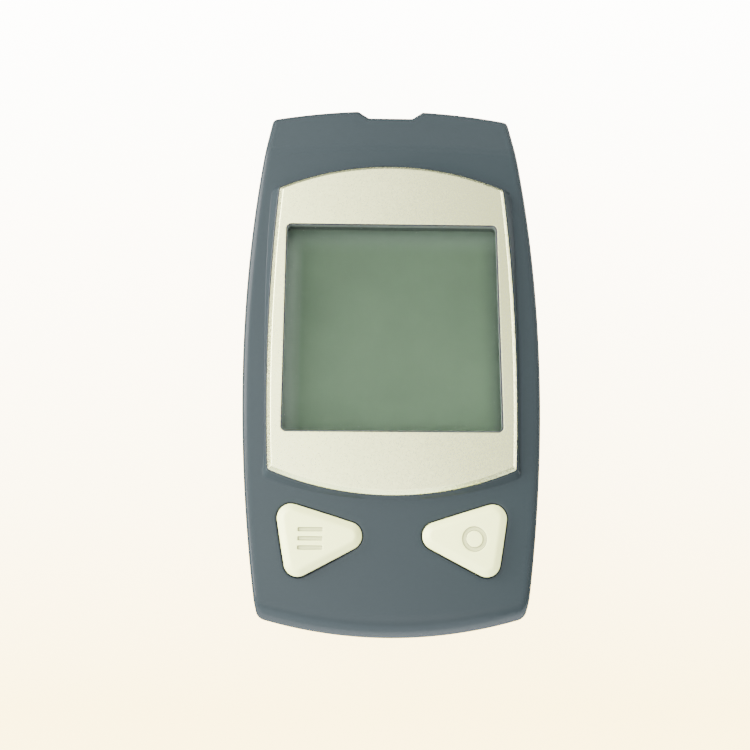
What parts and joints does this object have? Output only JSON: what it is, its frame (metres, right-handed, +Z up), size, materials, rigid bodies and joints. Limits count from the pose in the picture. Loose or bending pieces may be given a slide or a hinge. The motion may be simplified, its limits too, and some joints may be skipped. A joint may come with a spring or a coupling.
{
  "type": "blood glucose meter",
  "caption": "Pocket blood glucose meter: barrel-shaped case, raised silver display panel, rounded triangular buttons, strip port at the top, battery door at the back.",
  "frame": {"origin": "under the middle of the case, on the rest face", "axes": "+X to the right across the case, +Y along the case towards the test strip port, +Z up out of the display"},
  "size_m": [0.0508, 0.095, 0.02],
  "materials": {
    "slate_plastic": "satin slate-blue moulded plastic with a fine texture",
    "silver_paint": "champagne-silver metallic paint",
    "clear_lens": "clear polished window",
    "display": "grey-green reflective liquid crystal display",
    "black_rubber": "black foam",
    "pink_rubber": "striped elastic connector",
    "white_plastic": "moulded white plastic",
    "ivory_plastic": "satin ivory moulded plastic",
    "black_plastic": "black moulded plastic",
    "board": "green solder mask",
    "steel": "nickel-plated steel",
    "gold": "gold-plated contact metal",
    "ceramic": "fired ceramic",
    "cell": "plain wrapped cell with bright ends",
    "label": "blank silver-grey film"
  },
  "bodies": {
    "case": {"front_shell": "slate_plastic", "rear_shell": "slate_plastic", "front_panel": "silver_paint", "display_lens": "clear_lens", "display_gasket": "black_rubber", "display_glass": "display", "display_holder": "white_plastic", "display_connector": "pink_rubber", "circuit_board": "board", "controller_chip": "black_plastic", "memory_chip": "black_plastic", "timing_crystal": "steel", "capacitors": "ceramic", "buzzer": "black_plastic", "strip_connector": "black_plastic", "strip_contacts": "gold", "left_switch": "steel", "right_switch": "steel", "left_cell": "cell", "right_cell": "cell", "positive_contact": "steel", "negative_contact": "steel", "bridge_contact": "steel", "case_screws": "steel", "board_screws": "steel", "rear_label": "label"},
    "left_key": {"left_button": "ivory_plastic", "left_plunger": "black_plastic"},
    "right_key": {"right_button": "ivory_plastic", "right_plunger": "black_plastic"},
    "door": {"battery_door": "slate_plastic"}
  },
  "joints": [
    {"name": "left_press", "type": "slide", "parent": "case", "child": "left_key", "axis": [0, 0, -1], "range_m": [0, 0.00035], "stiffness_N_per_m": 3000, "springref_m": -0.0001},
    {"name": "right_press", "type": "slide", "parent": "case", "child": "right_key", "axis": [0, 0, -1], "range_m": [0, 0.00035], "stiffness_N_per_m": 3000, "springref_m": -0.0001},
    {"name": "door_slide", "type": "slide", "parent": "case", "child": "door", "axis": [0, -1, 0], "range_m": [0, 0.045]}
  ]
}
